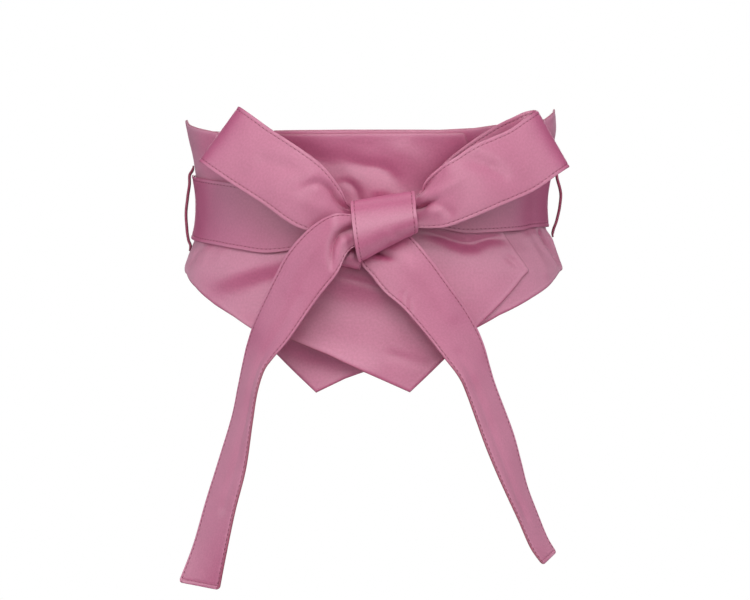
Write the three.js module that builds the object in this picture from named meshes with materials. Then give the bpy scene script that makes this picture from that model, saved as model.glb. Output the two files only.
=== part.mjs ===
/**
 * A satin waist belt as it is worn. Two shaped front panels cross over a plain back, a thin carrier
 * stands at each side seam, and one long sash is wound round the waist through the carriers and tied
 * in a bow at the front.
 *
 * Millimetres, +Z up, the front towards -Y, +X to the right as the belt is looked at from the front.
 * The origin is the middle of the hollow, at the height of the waist, where the wearer holds the belt.
 */
import * as THREE from "three";

/** The thickness of each cloth, and the room between one layer and the next. */
const PANEL_WALL = 1.8;
const SASH_WALL = 1.4;
const CARRIER_WALL = 1.6;
const CARRIER_WIDTH = 7;
const LAYER_GAP = 2;
const SASH_EASE = 1.1;

/** Faces: a panel's columns in degrees and rows in millimetres, and the counts on the other pieces. */
const COLUMN_TURN = 5;
const ROW_HEIGHT = 15;
const SASH_COLUMNS = 60;
const SASH_ROWS = 4;
const STRETCH_STEPS = 2;
const CARRIER_STEPS = 15;

/** The turns between which a layer climbs on to the one below it, or comes off it. */
const OVER_CLIMB = { start: -86, end: -60 };
const SASH_OFF_OVER = { start: 48, end: 66 };
const SASH_ON_OVER = { start: 270, end: 298 };

/** How near to the sash's middle it presses the folds flat, and where they are whole again. */
const PRESSED_FLAT = 20;
const PRESSED_CLEAR = 30;
const MM_PER_DEGREE = 1.8;

const SATIN = { color: 0xc6829e, roughness: 0.45 };
const SATIN_IN_SHADE = { color: 0xb06a8a, roughness: 0.5 };

/** The hollow form inside the cloth: half its width and half its depth at each height. */
const FORM = [
  { z: -130, half: 127, depth: 93 },
  { z: -80, half: 127, depth: 91 },
  { z: -46, half: 125.6, depth: 88 },
  { z: -35, half: 122.6, depth: 86.8 },
  { z: -25, half: 118.8, depth: 85.6 },
  { z: -15, half: 115.9, depth: 84.8 },
  { z: -4, half: 114.8, depth: 84.5 },
  { z: 8, half: 115, depth: 84.6 },
  { z: 22, half: 117.4, depth: 85.5 },
  { z: 33, half: 119.2, depth: 86.5 },
  { z: 45, half: 122, depth: 88 },
  { z: 66, half: 126, depth: 90 },
];

/** The panels' top and bottom edges. A turn is in degrees from the middle of the front, to the right. */
const OVER_OUTLINE = [
  { turn: -89.8, high: 58, low: -42 },
  { turn: -82.5, high: 57.5, low: -44.5 },
  { turn: -74.8, high: 53.6, low: -46.2 },
  { turn: -63, high: 50, low: -55 },
  { turn: -52.6, high: 46.6, low: -66.6 },
  { turn: -44, high: 45, low: -74.2 },
  { turn: -36.5, high: 44.5, low: -82 },
  { turn: -23.4, high: 44, low: -89.3 },
  { turn: -12.8, high: 44, low: -98.5 },
  { turn: -3, high: 44.2, low: -109 },
  { turn: 10.9, high: 44.5, low: -123 },
  { turn: 21, high: 44.7, low: -102 },
  { turn: 28.3, high: 45, low: -87.5 },
  { turn: 30.2, high: 39.5, low: -84 },
  { turn: 34.3, high: 21, low: -75.8 },
  { turn: 44.8, high: -19.5, low: -57.3 },
  { turn: 49, high: -33.5, low: -50 },
  { turn: 52.6, high: -42.5, low: -45.2 },
];
const UNDER_OUTLINE = [
  { turn: -52.6, high: -42.5, low: -45.2 },
  { turn: -49, high: -33.5, low: -50 },
  { turn: -35, high: 22, low: -88 },
  { turn: -31, high: 46.8, low: -96.5 },
  { turn: -16.8, high: 46.6, low: -123.5 },
  { turn: -8, high: 46.6, low: -114.4 },
  { turn: 3, high: 46.6, low: -106 },
  { turn: 21, high: 46.8, low: -91.5 },
  { turn: 32.7, high: 48.4, low: -81.4 },
  { turn: 40.7, high: 50.9, low: -73.5 },
  { turn: 56.4, high: 54, low: -61.7 },
  { turn: 66.6, high: 56.5, low: -54.8 },
  { turn: 72.6, high: 61, low: -50.4 },
  { turn: 79, high: 64.5, low: -46.5 },
  { turn: 89.8, high: 60.5, low: -42.7 },
];
const BACK_OUTLINE = [
  { turn: 90.2, high: 60.5, low: -42.7 },
  { turn: 108, high: 57, low: -44 },
  { turn: 140, high: 54.5, low: -46 },
  { turn: 180, high: 53.5, low: -47 },
  { turn: 220, high: 53, low: -46 },
  { turn: 252, high: 53, low: -44 },
  { turn: 269.8, high: 58, low: -42 },
];

/** The largest folds: a line over the form from one end to the other, raised (+) or sunk (-) by `deep`. */
const FOLDS = [
  { turn0: -26, z0: 38, turn1: -6, z1: 30, wide: 9, deep: -2.6 },
  { turn0: -6, z0: 30, turn1: 12, z1: 20, wide: 9, deep: -3 },
  { turn0: -14, z0: 17, turn1: 4, z1: 21, wide: 9, deep: 2.4 },
  { turn0: -30, z0: -37, turn1: -56, z1: -55, wide: 8, deep: -3 },
  { turn0: -34, z0: -48, turn1: -52, z1: -60, wide: 8, deep: 2 },
  { turn0: -58, z0: -26, turn1: -62, z1: -52, wide: 6, deep: 2 },
  { turn0: -72, z0: -24, turn1: -70, z1: -45, wide: 6, deep: 2 },
  { turn0: 40, z0: -34, turn1: 22, z1: -80, wide: 10, deep: 2.2 },
  { turn0: 60, z0: -24, turn1: 68, z1: -45, wide: 6, deep: 2 },
  { turn0: 74, z0: -20, turn1: 78, z1: -34, wide: 5, deep: -2 },
  { turn0: 89, z0: -27, turn1: 91, z1: -43, wide: 8, deep: 2.8 },
  { turn0: 112, z0: -26, turn1: 118, z1: -46, wide: 8, deep: 2 },
  { turn0: 138, z0: 30, turn1: 150, z1: 48, wide: 9, deep: -2 },
  { turn0: 168, z0: -24, turn1: 164, z1: -46, wide: 9, deep: 2.2 },
  { turn0: 214, z0: 28, turn1: 206, z1: 50, wide: 9, deep: 2 },
  { turn0: 236, z0: -26, turn1: 242, z1: -46, wide: 8, deep: -2 },
];

/** The sash's middle and half width on its way from the knot, round the back, to the knot again. */
const SASH_ROUTE = [
  { turn: 4, middle: -9, half: 11 },
  { turn: 16, middle: -7, half: 13.5 },
  { turn: 30, middle: 0, half: 20 },
  { turn: 54, middle: 3.5, half: 21 },
  { turn: 63, middle: 5.4, half: 21 },
  { turn: 90, middle: 7, half: 21 },
  { turn: 135, middle: 6, half: 21 },
  { turn: 180, middle: 4, half: 21 },
  { turn: 225, middle: 2, half: 21 },
  { turn: 270, middle: 0, half: 21 },
  { turn: 304, middle: -6, half: 21 },
  { turn: 317, middle: -9.5, half: 21 },
  { turn: 328, middle: -12, half: 21 },
  { turn: 340, middle: -13, half: 17 },
  { turn: 349, middle: -14, half: 12.5 },
  { turn: 359, middle: -15, half: 11 },
];

/**
 * Sections of the sash where it leaves the form. x, y, z: the section's middle. half: half the width seen
 * from the front. lean: degrees from upright towards +X. turned: degrees that its + edge is turned away.
 * bulge: how far its middle stands forward.
 */
const BOW_LOOP_LEFT = [
  { x: -1, y: -105.5, z: -9.6, half: 7, lean: 0, turned: 0, bulge: 0 },
  { x: -13.5, y: -106, z: -10.5, half: 7.5, lean: 2, turned: 0, bulge: 0 },
  { x: -23.5, y: -107, z: -8.5, half: 15.5, lean: 16, turned: 0, bulge: 1 },
  { x: -33.5, y: -108, z: -2, half: 19, lean: 26, turned: 0, bulge: 2 },
  { x: -43, y: -108, z: 5, half: 21.5, lean: 28, turned: 0, bulge: 3 },
  { x: -58, y: -106, z: 16, half: 21.5, lean: 34, turned: 0, bulge: 3 },
  { x: -77, y: -99, z: 28.5, half: 21.7, lean: 37, turned: 0, bulge: 2 },
  { x: -94, y: -90, z: 40.5, half: 22, lean: 36, turned: 0, bulge: 0 },
  { x: -98.7, y: -81, z: 44, half: 22, lean: 36, turned: 0, bulge: 0 },
  { x: -94, y: -73, z: 41, half: 21.5, lean: 36, turned: 0, bulge: 0 },
  { x: -77, y: -82, z: 29, half: 21, lean: 36, turned: 0, bulge: -2 },
  { x: -58, y: -90, z: 17, half: 20.5, lean: 34, turned: 0, bulge: -2 },
  { x: -43, y: -95, z: 7, half: 20, lean: 28, turned: 0, bulge: -1 },
  { x: -30, y: -98.5, z: -3, half: 16, lean: 20, turned: 0, bulge: 0 },
  { x: -13.5, y: -101.5, z: -10.9, half: 7.3, lean: 2, turned: 0, bulge: 0 },
  { x: -1, y: -102, z: -10.2, half: 6.6, lean: 0, turned: 0, bulge: 0 },
];
const BOW_LOOP_RIGHT = [
  { x: 16, y: -106, z: -7.4, half: 9.4, lean: 0, turned: 0, bulge: 0 },
  { x: 29.5, y: -106, z: -6.7, half: 10.7, lean: -3, turned: 0, bulge: 0 },
  { x: 37, y: -107, z: -2.3, half: 15.5, lean: -9, turned: 0, bulge: 1 },
  { x: 45.5, y: -108, z: 2, half: 19, lean: -9, turned: 0, bulge: 2 },
  { x: 58, y: -108, z: 8, half: 20.2, lean: -14, turned: 0, bulge: 3 },
  { x: 73.5, y: -106, z: 16, half: 21.3, lean: -21, turned: 0, bulge: 3 },
  { x: 95.3, y: -98, z: 25.7, half: 21.3, lean: -24, turned: 0, bulge: 2 },
  { x: 112.5, y: -88, z: 37.5, half: 21, lean: -29, turned: 0, bulge: 0 },
  { x: 117.7, y: -79, z: 41, half: 21, lean: -29.5, turned: 0, bulge: 0 },
  { x: 113, y: -71, z: 42, half: 21, lean: -29, turned: 0, bulge: 0 },
  { x: 102, y: -74, z: 37, half: 21, lean: -26, turned: 0, bulge: -1 },
  { x: 88, y: -81, z: 30.5, half: 20.5, lean: -22, turned: 0, bulge: -2 },
  { x: 69, y: -89.5, z: 19, half: 20, lean: -18, turned: 0, bulge: -1 },
  { x: 48, y: -97, z: 6.5, half: 17, lean: -9, turned: 0, bulge: 0 },
  { x: 29.5, y: -101.5, z: -6.5, half: 9, lean: -3, turned: 0, bulge: 0 },
  { x: 16, y: -102, z: -7.6, half: 8.6, lean: 0, turned: 0, bulge: 0 },
];
const TAIL_LEFT = [
  { x: -1, y: -112.2, z: -18.5, half: 9.5, lean: 0, turned: 0, bulge: 0 },
  { x: -12.7, y: -112.6, z: -19.6, half: 10.3, lean: -5, turned: 0, bulge: 0 },
  { x: -21, y: -115.2, z: -22.5, half: 14, lean: -17, turned: 0, bulge: 1 },
  { x: -30, y: -114.5, z: -31.5, half: 17, lean: -30, turned: 8, bulge: 2 },
  { x: -41, y: -111.5, z: -44, half: 17, lean: -42, turned: 14, bulge: 2 },
  { x: -50, y: -108, z: -58, half: 15.5, lean: -49, turned: 22, bulge: 2 },
  { x: -63.5, y: -103, z: -81.5, half: 13, lean: -55, turned: 36, bulge: 2 },
  { x: -71.7, y: -98, z: -96, half: 9.8, lean: -59, turned: 50, bulge: 1.5 },
  { x: -76, y: -96, z: -106, half: 7.7, lean: -66, turned: 58, bulge: 1.5 },
  { x: -79.9, y: -95, z: -121.5, half: 6.7, lean: -76, turned: 62, bulge: 1.5 },
  { x: -83.7, y: -94, z: -141, half: 7.1, lean: -79, turned: 61, bulge: 1.5 },
  { x: -90, y: -93, z: -170, half: 9.6, lean: -79, turned: 53, bulge: 1.5 },
  { x: -97.5, y: -92, z: -196.5, half: 10.4, lean: -79, turned: 50, bulge: 1.5 },
  { x: -104.5, y: -91, z: -224.5, half: 11.5, lean: -81, turned: 45, bulge: 1 },
  { x: -111.4, y: -90, z: -248.2, half: 13.8, lean: -83, turned: 32, bulge: 0.5 },
];
const TAIL_RIGHT = [
  { x: 7, y: -98.3, z: -22, half: 12, lean: -112, turned: 0, bulge: 0 },
  { x: 8.5, y: -101.5, z: -30, half: 18, lean: -119, turned: 0, bulge: 1 },
  { x: 16, y: -103.5, z: -39, half: 18.4, lean: -122, turned: 0, bulge: 2 },
  { x: 24, y: -105, z: -49, half: 18.4, lean: -121, turned: -4, bulge: 2 },
  { x: 34.7, y: -105, z: -61, half: 16.7, lean: -116, turned: -14, bulge: 2 },
  { x: 45.4, y: -103, z: -74.5, half: 16, lean: -113, turned: -24, bulge: 2 },
  { x: 53.6, y: -101, z: -86.3, half: 15, lean: -111, turned: -31, bulge: 2 },
  { x: 60, y: -100, z: -97.5, half: 13.4, lean: -108, turned: -38, bulge: 1.5 },
  { x: 66.2, y: -98.5, z: -110, half: 10.8, lean: -105, turned: -48, bulge: 1.5 },
  { x: 70.8, y: -97, z: -122, half: 10, lean: -103, turned: -50, bulge: 1.5 },
  { x: 81.5, y: -95, z: -151, half: 10.2, lean: -105, turned: -50, bulge: 1.5 },
  { x: 88, y: -94, z: -170, half: 9, lean: -108, turned: -54, bulge: 1.5 },
  { x: 94, y: -93, z: -187, half: 7.4, lean: -108, turned: -59, bulge: 1.5 },
  { x: 101, y: -92, z: -203.6, half: 6.7, lean: -108, turned: -61, bulge: 1 },
  { x: 108, y: -91, z: -220, half: 6.4, lean: -114, turned: -62, bulge: 1 },
  { x: 114.9, y: -90, z: -230.6, half: 5.8, lean: -122, turned: -62, bulge: 0.5 },
];
const KNOT = [
  { x: 6, y: -93.6, z: -3.5, half: 19, lean: 80, turned: 0, bulge: 0 },
  { x: 6.5, y: -99, z: 1.2, half: 20, lean: 80.5, turned: 0, bulge: 0 },
  { x: 7, y: -106.5, z: 2.4, half: 20.8, lean: 80.7, turned: 0, bulge: 0 },
  { x: 7.4, y: -113, z: -2.2, half: 21, lean: 79.5, turned: 0, bulge: 0 },
  { x: 8, y: -117.2, z: -10, half: 21, lean: 76, turned: 0, bulge: 0 },
  { x: 8.8, y: -118.8, z: -17, half: 21.2, lean: 71.5, turned: 0, bulge: 0 },
  { x: 9.8, y: -117.2, z: -24, half: 21.5, lean: 67, turned: 0, bulge: 0 },
  { x: 10.5, y: -111, z: -29.2, half: 21.3, lean: 63, turned: 0, bulge: 0 },
  { x: 10.3, y: -104, z: -28.2, half: 20, lean: 64, turned: 0, bulge: 0 },
];
const KNOT_UNDER = [
  { x: -10, y: -97.3, z: -19, half: 4, lean: 90, turned: 0, bulge: 0 },
  { x: -12, y: -97.6, z: -28, half: 5, lean: 96, turned: 0, bulge: 0 },
  { x: -13, y: -98, z: -37, half: 7.5, lean: 104, turned: 0, bulge: 0 },
  { x: -13, y: -96.6, z: -40.5, half: 7.5, lean: 105, turned: 0, bulge: 0 },
  { x: -12.5, y: -95.3, z: -37.5, half: 7, lean: 100, turned: 0, bulge: 0 },
  { x: -11, y: -94.6, z: -28, half: 5, lean: 92, turned: 0, bulge: 0 },
];

/** A carrier's route up the side seam: how far it stands off the form, at each height. */
const CARRIER_LEFT = [
  { z: -28.6, off: 3 },
  { z: -26.6, off: 3.2 },
  { z: -23.2, off: 5.7 },
  { z: -16, off: 8.8 },
  { z: -5, off: 10.7 },
  { z: 7, off: 9.4 },
  { z: 15, off: 7.1 },
  { z: 21, off: 6 },
  { z: 23.4, off: 4 },
  { z: 25.4, off: 3 },
];
const CARRIER_RIGHT = [
  { z: -21, off: 5.2 },
  { z: -19, off: 5.5 },
  { z: -15, off: 7.2 },
  { z: -10.8, off: 9.4 },
  { z: -5, off: 11.3 },
  { z: 0, off: 12.4 },
  { z: 7, off: 12.9 },
  { z: 12, off: 11.6 },
  { z: 19, off: 8.4 },
  { z: 27, off: 6.3 },
  { z: 31, off: 4 },
  { z: 33, off: 3 },
];

/** A curve through one column of a table, read at a place along another, smooth or straight. */
function curveThrough(rows, along, column, smooth = true) {
  const last = rows.length - 1;
  const slope = (k) => {
    const before = rows[Math.max(k - 1, 0)];
    const after = rows[Math.min(k + 1, last)];
    return (after[column] - before[column]) / (after[along] - before[along]);
  };
  return (at) => {
    let k = 0;
    while (k < last - 1 && at > rows[k + 1][along]) k += 1;
    const from = rows[k];
    const to = rows[k + 1];
    const span = to[along] - from[along];
    const t = THREE.MathUtils.clamp((at - from[along]) / span, 0, 1);
    if (!smooth) return THREE.MathUtils.lerp(from[column], to[column], t);
    const rise = (1 + 2 * t) * (1 - t) ** 2 * from[column] + (3 - 2 * t) * t ** 2 * to[column];
    return rise + span * (t * (1 - t) ** 2 * slope(k) - (1 - t) * t ** 2 * slope(k + 1));
  };
}

const KNOT_RIGHT = SASH_ROUTE[0].turn;
const KNOT_LEFT = SASH_ROUTE[SASH_ROUTE.length - 1].turn;
const formHalf = curveThrough(FORM, "z", "half");
const formDepth = curveThrough(FORM, "z", "depth");
const sashMiddle = curveThrough(SASH_ROUTE, "turn", "middle");
const sashHalf = curveThrough(SASH_ROUTE, "turn", "half");

/** A point on the form at a turn and a height, moved out from it. */
function onForm(turn, z, out) {
  const angle = THREE.MathUtils.degToRad(turn);
  const half = formHalf(z);
  const depth = formDepth(z);
  const outward = new THREE.Vector3(Math.sin(angle) / half, -Math.cos(angle) / depth, 0).normalize();
  return new THREE.Vector3(half * Math.sin(angle), -depth * Math.cos(angle), z).addScaledVector(outward, out);
}

/** How far the cloth is raised or sunk by its folds. The sash presses them flat. */
function foldedOut(turn, z) {
  const round = turn < -90 ? turn + 360 : turn;
  const onward = THREE.MathUtils.clamp(turn < 0 ? turn + 360 : turn, KNOT_RIGHT, KNOT_LEFT);
  const above = Math.abs(z - sashMiddle(onward));
  const pressed = THREE.MathUtils.smoothstep(above, PRESSED_FLAT, PRESSED_CLEAR);
  let out = 0;
  for (const fold of FOLDS) {
    const along = new THREE.Vector2((fold.turn1 - fold.turn0) * MM_PER_DEGREE, fold.z1 - fold.z0);
    const here = new THREE.Vector2((round - fold.turn0) * MM_PER_DEGREE, z - fold.z0);
    const t = THREE.MathUtils.clamp(here.dot(along) / along.lengthSq(), 0, 1);
    const away = here.addScaledVector(along, -t).length() / fold.wide;
    out += fold.deep * Math.exp(-away * away);
  }
  return out * pressed;
}

/** The turns at which a panel has a column of points: each row of its outline, and steps between them. */
function columnTurns(outline) {
  const turns = [outline[0].turn];
  for (let k = 1; k < outline.length; k += 1) {
    const from = outline[k - 1].turn;
    const to = outline[k].turn;
    const steps = Math.ceil((to - from) / COLUMN_TURN);
    for (let i = 1; i <= steps; i += 1) turns.push(THREE.MathUtils.lerp(from, to, i / steps));
  }
  return turns;
}

/**
 * A closed wall of cloth on a grid of points. The points are moved along the grid's own normals, by
 * `near` for the one face and by `far` for the other, and a rim joins the faces.
 */
function clothWall(grid, near, far) {
  const columns = grid.length;
  const rows = grid[0].length;
  const between = (list, k) => [list[Math.max(k - 1, 0)], list[Math.min(k + 1, list.length - 1)]];
  const normals = grid.map((line, i) => line.map((point, j) => {
    const [before, after] = between(grid, i);
    const [below, above] = between(line, j);
    const along = after[j].clone().sub(before[j]);
    return along.cross(above.clone().sub(below)).normalize();
  }));
  const positions = [];
  for (const shift of [far, near]) {
    grid.forEach((line, i) => line.forEach((point, j) => {
      positions.push(...point.clone().addScaledVector(normals[i][j], shift).toArray());
    }));
  }
  const at = (face, i, j) => (face * columns + i) * rows + j;
  const faces = [];
  const quad = (a, b, c, d) => faces.push(a, b, c, a, c, d);
  for (let i = 0; i < columns - 1; i += 1) {
    for (let j = 0; j < rows - 1; j += 1) {
      quad(at(0, i, j), at(0, i + 1, j), at(0, i + 1, j + 1), at(0, i, j + 1));
      quad(at(1, i, j), at(1, i, j + 1), at(1, i + 1, j + 1), at(1, i + 1, j));
    }
    quad(at(1, i, 0), at(1, i + 1, 0), at(0, i + 1, 0), at(0, i, 0));
    quad(at(0, i, rows - 1), at(0, i + 1, rows - 1), at(1, i + 1, rows - 1), at(1, i, rows - 1));
  }
  for (let j = 0; j < rows - 1; j += 1) {
    quad(at(0, 0, j), at(0, 0, j + 1), at(1, 0, j + 1), at(1, 0, j));
    quad(at(1, columns - 1, j), at(1, columns - 1, j + 1), at(0, columns - 1, j + 1), at(0, columns - 1, j));
  }
  const geometry = new THREE.BufferGeometry();
  geometry.setAttribute("position", new THREE.Float32BufferAttribute(positions, 3));
  geometry.setIndex(faces);
  geometry.computeVertexNormals();
  return geometry;
}

/** A body panel between its top and bottom edges, `lift` millimetres off the form at each turn. */
function panelWall(outline, lift) {
  const high = curveThrough(outline, "turn", "high", false);
  const low = curveThrough(outline, "turn", "low", false);
  const tallest = Math.max(...outline.map((row) => row.high - row.low));
  const rows = Math.ceil(tallest / ROW_HEIGHT);
  const grid = columnTurns(outline).map((turn) => {
    const line = [];
    for (let j = 0; j <= rows; j += 1) {
      const z = THREE.MathUtils.lerp(low(turn), high(turn), j / rows);
      line.push(onForm(turn, z, lift(turn) + foldedOut(turn, z)));
    }
    return line;
  });
  return clothWall(grid, 0, PANEL_WALL);
}

/** The over panel starts at the side seam and climbs on to the under panel. */
function overLift(turn) {
  return (PANEL_WALL + LAYER_GAP) * THREE.MathUtils.smoothstep(turn, OVER_CLIMB.start, OVER_CLIMB.end);
}

/** The sash lies on whatever panels are below it, one at the sides and back and two at the front. */
function sashLift(turn) {
  const right = 1 - THREE.MathUtils.smoothstep(turn, SASH_OFF_OVER.start, SASH_OFF_OVER.end);
  const left = THREE.MathUtils.smoothstep(turn, SASH_ON_OVER.start, SASH_ON_OVER.end);
  const doubled = Math.max(right, left);
  return PANEL_WALL + SASH_EASE + doubled * (PANEL_WALL + LAYER_GAP);
}

/** The stretch of sash round the waist, from one side of the knot to the other. */
function sashRound() {
  const grid = [];
  for (let i = 0; i <= SASH_COLUMNS; i += 1) {
    const turn = THREE.MathUtils.lerp(KNOT_RIGHT, KNOT_LEFT, i / SASH_COLUMNS);
    const line = [];
    for (let j = 0; j <= SASH_ROWS; j += 1) {
      const z = sashMiddle(turn) + sashHalf(turn) * ((2 * j) / SASH_ROWS - 1);
      line.push(onForm(turn, z, sashLift(turn)));
    }
    grid.push(line);
  }
  return clothWall(grid, 0, SASH_WALL);
}

/** A free stretch of the sash through its table of sections, with `across` faces over its width. */
function sashStretch(sections, across) {
  const rows = sections.map((section, at) => ({ ...section, at }));
  const names = ["x", "y", "z", "half", "lean", "turned", "bulge"];
  const read = Object.fromEntries(names.map((name) => [name, curveThrough(rows, "at", name)]));
  const steps = (rows.length - 1) * STRETCH_STEPS;
  const grid = [];
  for (let i = 0; i <= steps; i += 1) {
    const at = i / STRETCH_STEPS;
    const lean = THREE.MathUtils.degToRad(read.lean(at));
    const turned = THREE.MathUtils.degToRad(read.turned(at));
    const line = [];
    for (let j = 0; j <= across; j += 1) {
      const v = (2 * j) / across - 1;
      const out = read.half(at) * v;
      const x = read.x(at) + out * Math.sin(lean);
      const y = read.y(at) + out * Math.tan(turned) - read.bulge(at) * (1 - v * v);
      const z = read.z(at) + out * Math.cos(lean);
      line.push(new THREE.Vector3(x, y, z));
    }
    grid.push(line);
  }
  return clothWall(grid, -SASH_WALL / 2, SASH_WALL / 2);
}

/** A carrier: a thin strap up the side seam, its feet on the panel and its middle clear of the sash. */
function carrier(route, side) {
  const off = curveThrough(route, "z", "off");
  const foot = route[0].z;
  const top = route[route.length - 1].z;
  const edge = (side * CARRIER_WIDTH) / 2;
  const grid = [];
  for (let i = 0; i <= CARRIER_STEPS; i += 1) {
    const z = THREE.MathUtils.lerp(foot, top, i / CARRIER_STEPS);
    const x = side * (formHalf(z) + off(z));
    grid.push([new THREE.Vector3(x, -edge, z), new THREE.Vector3(x, edge, z)]);
  }
  return clothWall(grid, -CARRIER_WALL / 2, CARRIER_WALL / 2);
}

const belt = new THREE.Group();

/** Adds one named piece of the belt. */
function piece(name, geometry, satin) {
  const material = new THREE.MeshStandardMaterial({ ...satin, metalness: 0 });
  const mesh = new THREE.Mesh(geometry, material);
  mesh.name = name;
  belt.add(mesh);
}

piece("front_over", panelWall(OVER_OUTLINE, overLift), SATIN);
piece("front_under", panelWall(UNDER_OUTLINE, () => 0), SATIN);
piece("back", panelWall(BACK_OUTLINE, () => 0), SATIN);
piece("sash_waist", sashRound(), SATIN_IN_SHADE);
piece("bow_loop_left", sashStretch(BOW_LOOP_LEFT, 5), SATIN);
piece("bow_loop_right", sashStretch(BOW_LOOP_RIGHT, 5), SATIN);
piece("tail_left", sashStretch(TAIL_LEFT, 4), SATIN);
piece("tail_right", sashStretch(TAIL_RIGHT, 4), SATIN);
piece("knot", sashStretch(KNOT, 5), SATIN);
piece("knot_under", sashStretch(KNOT_UNDER, 3), SATIN);
piece("carrier_left", carrier(CARRIER_LEFT, -1), SATIN);
piece("carrier_right", carrier(CARRIER_RIGHT, 1), SATIN);

export default belt;
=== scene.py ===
"""The looks of a satin waist belt, worn and tied in a bow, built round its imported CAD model.

Two pointed front panels cross over a plain back. One long topstitched sash is wound round the waist
through a carrier at each side seam, and tied in a bow at the front.

Blender's metres, +Z up, the front towards -Y, +X to the right as the belt is looked at from the front.
The tables and sizes are in millimetres, and MM turns them into metres.
"""

import logging
import math
from dataclasses import dataclass, replace
from enum import Enum
from typing import Callable, NamedTuple, Sequence

import bmesh
import bpy
import numpy as np
from bpy.types import Material, Node, NodeSocket, Object
from mathutils import Matrix, Vector


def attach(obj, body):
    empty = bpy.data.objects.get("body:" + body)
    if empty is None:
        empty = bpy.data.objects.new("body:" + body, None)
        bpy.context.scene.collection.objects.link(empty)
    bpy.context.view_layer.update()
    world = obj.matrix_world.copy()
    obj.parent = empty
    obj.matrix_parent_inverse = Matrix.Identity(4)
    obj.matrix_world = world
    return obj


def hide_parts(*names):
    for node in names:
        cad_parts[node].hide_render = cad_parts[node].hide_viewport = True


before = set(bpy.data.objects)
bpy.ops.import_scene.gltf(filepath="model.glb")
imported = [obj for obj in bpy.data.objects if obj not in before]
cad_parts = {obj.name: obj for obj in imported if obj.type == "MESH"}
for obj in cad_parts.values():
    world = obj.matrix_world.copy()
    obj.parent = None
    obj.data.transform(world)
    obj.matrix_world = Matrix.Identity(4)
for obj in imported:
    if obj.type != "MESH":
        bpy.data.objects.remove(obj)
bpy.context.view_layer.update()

MM = 0.001
BODY = "root"

PANEL_WALL = 1.8
SASH_WALL = 1.4
LAYER_GAP = 2.0
SASH_EASE = 1.1
MM_PER_DEGREE = 1.8
STITCH_PITCH = 3.2
COLUMN_STEP = STITCH_PITCH / 2
SWELL_HEIGHT = 0.26
RIPPLE_HEIGHT = 0.16
# The phase, in radians, that a metre adds to a wave texture at a scale of 1.
WAVE_PHASE = 20

Numbers = np.ndarray
Colour = tuple[float, float, float]
Place = tuple[float, float, float]


class Ring(NamedTuple):
    """The hollow form at one height: half its width and half its depth."""

    z: float
    half: float
    depth: float


class Edges(NamedTuple):
    """A panel's top and bottom edge at one turn, in degrees from the middle of the front to the right."""

    turn: float
    high: float
    low: float


class Pass(NamedTuple):
    """The middle and half width of the sash at one turn of its way round the waist."""

    turn: float
    middle: float
    half: float


class Section(NamedTuple):
    """A section of the sash where it leaves the form.

    x, y and z are its middle, and half is half its width seen from the front. lean is in degrees from
    upright towards +X, turned in degrees that its + edge is turned away, and bulge is how far its
    middle stands forward.
    """

    x: float
    y: float
    z: float
    half: float
    lean: float
    turned: float = 0.0
    bulge: float = 0.0


class Stand(NamedTuple):
    """How far a carrier stands off the form at one height."""

    z: float
    off: float


def table(row: type, *rows: tuple) -> tuple:
    """Makes a table, with the named columns of its rows' class."""
    return tuple(row(*values) for values in rows)


FORM = table(
    Ring, (-130, 127, 93), (-80, 127, 91), (-46, 125.6, 88), (-35, 122.6, 86.8), (-25, 118.8, 85.6),
    (-15, 115.9, 84.8), (-4, 114.8, 84.5), (8, 115, 84.6), (22, 117.4, 85.5), (33, 119.2, 86.5),
    (45, 122, 88), (66, 126, 90),
)
OVER_EDGES = table(
    Edges, (-89.8, 58, -42), (-82.5, 57.5, -44.5), (-74.8, 53.6, -46.2), (-63, 50, -55),
    (-52.6, 46.6, -66.6), (-44, 45, -74.2), (-36.5, 44.5, -82), (-23.4, 44, -89.3), (-12.8, 44, -98.5),
    (-3, 44.2, -109), (10.9, 44.5, -123), (21, 44.7, -102), (28.3, 45, -87.5), (30.2, 39.5, -84),
    (34.3, 21, -76.6), (46.4, -19.5, -55.8), (50.1, -33.5, -49.2), (53.6, -43.2, -44.8),
)
UNDER_EDGES = table(
    Edges, (-52.6, -42.5, -45.2), (-49, -33.5, -50), (-35, 22, -88), (-31, 46.8, -96.5),
    (-16.8, 46.6, -123.5), (-8, 46.6, -114.4), (3, 46.6, -106), (21, 46.8, -91.5), (32.7, 48.4, -81.4),
    (40.7, 50.9, -73.5), (56.4, 54, -61.7), (66.6, 56.5, -54.8), (72.6, 61, -50.4), (79, 64.5, -46.5),
    (89.8, 60.5, -42.7),
)
BACK_EDGES = table(
    Edges, (89.83, 60.5, -42.7), (108, 57, -44), (140, 54.5, -46), (180, 53.5, -47), (220, 53, -46),
    (252, 53, -44), (270.17, 58, -42),
)
SASH_ROUTE = table(
    Pass, (4, -9, 11), (16, -6.4, 10.2), (23, -3, 14.8), (30, 0, 20), (54, 3.5, 21), (63, 5.4, 21),
    (90, 7, 21), (135, 6, 21), (180, 4, 21), (225, 2, 21), (270, 0, 21), (304, -6, 21), (317, -9.5, 21),
    (328, -12, 21), (340, -13, 17), (349, -14, 12.5), (359, -15, 11),
)
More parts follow.
